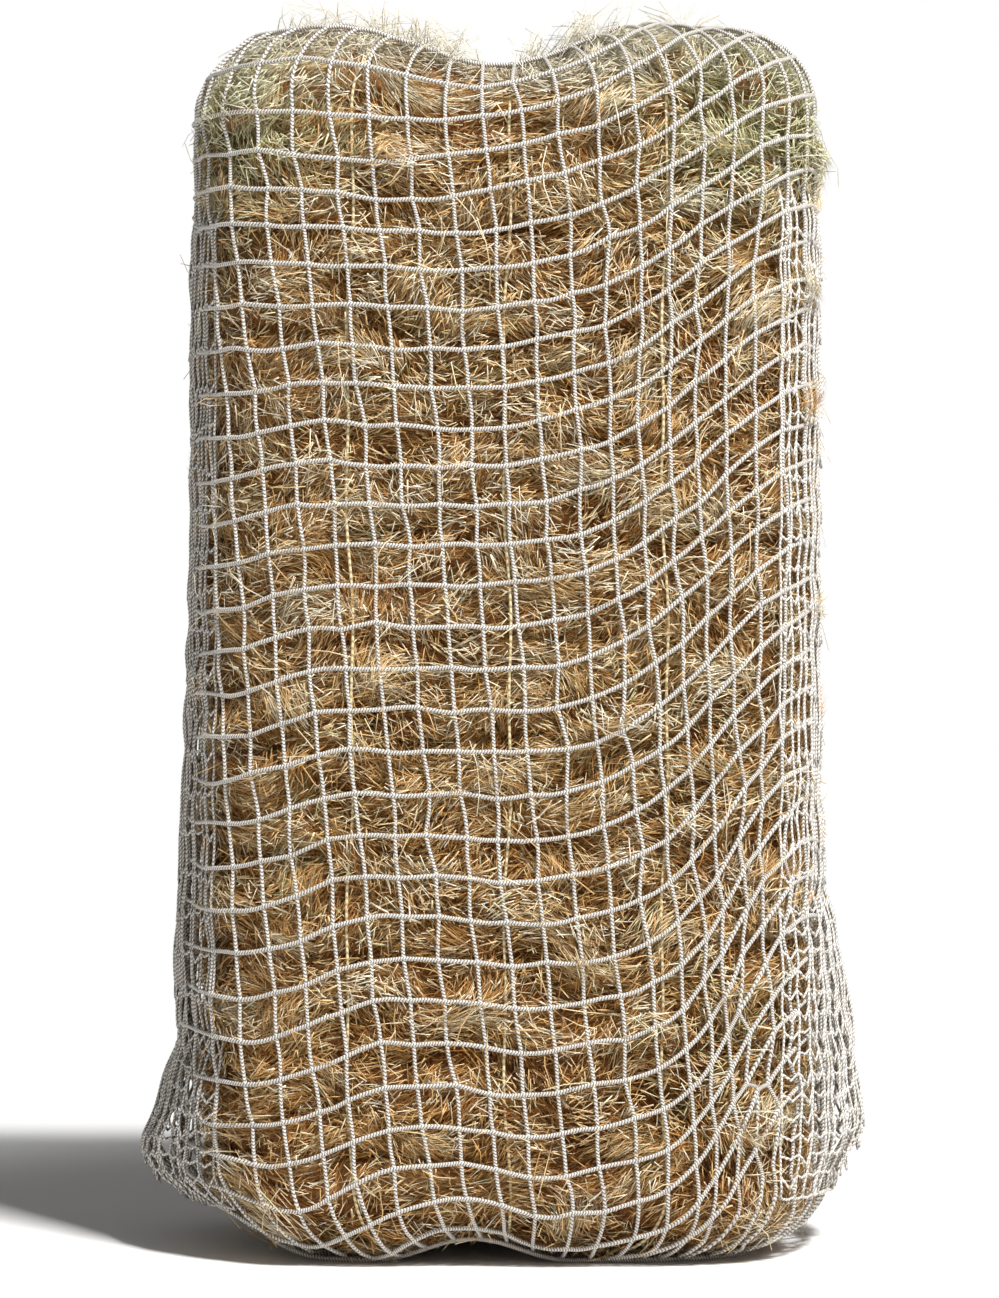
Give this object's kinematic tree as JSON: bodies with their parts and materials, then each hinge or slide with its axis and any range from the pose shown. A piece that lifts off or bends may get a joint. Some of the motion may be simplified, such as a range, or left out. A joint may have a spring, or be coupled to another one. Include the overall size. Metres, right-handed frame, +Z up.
{
  "type": "hay net",
  "caption": "White square-mesh hay net drawn over a standing three-string hay bale, with slack bottom corners and a gathered mouth.",
  "frame": {"origin": "middle of the underside, on the surface that the bale stands on", "axes": "+Z up along the bale, +X to the right seen from the front, front face towards -Y"},
  "size_m": [0.6664, 0.428, 1.1368],
  "materials": {
    "hay": "dry loose stems",
    "twine": "spun polypropylene baler twine",
    "netting": "braided white polyester cord",
    "rope": "braided white polyester rope"
  },
  "bodies": {
    "root": {"flake_01": "hay", "flake_02": "hay", "flake_03": "hay", "flake_04": "hay", "flake_05": "hay", "flake_06": "hay", "flake_07": "hay", "flake_08": "hay", "flake_09": "hay", "flake_10": "hay", "flake_11": "hay", "flake_12": "hay", "left_twine": "twine", "middle_twine": "twine", "right_twine": "twine", "front_netting": "netting", "back_netting": "netting", "base_netting": "netting", "left_ear": "netting", "right_ear": "netting", "left_seam_lacing": "netting", "right_seam_lacing": "netting", "mouth_rope": "rope"}
  },
  "joints": []
}
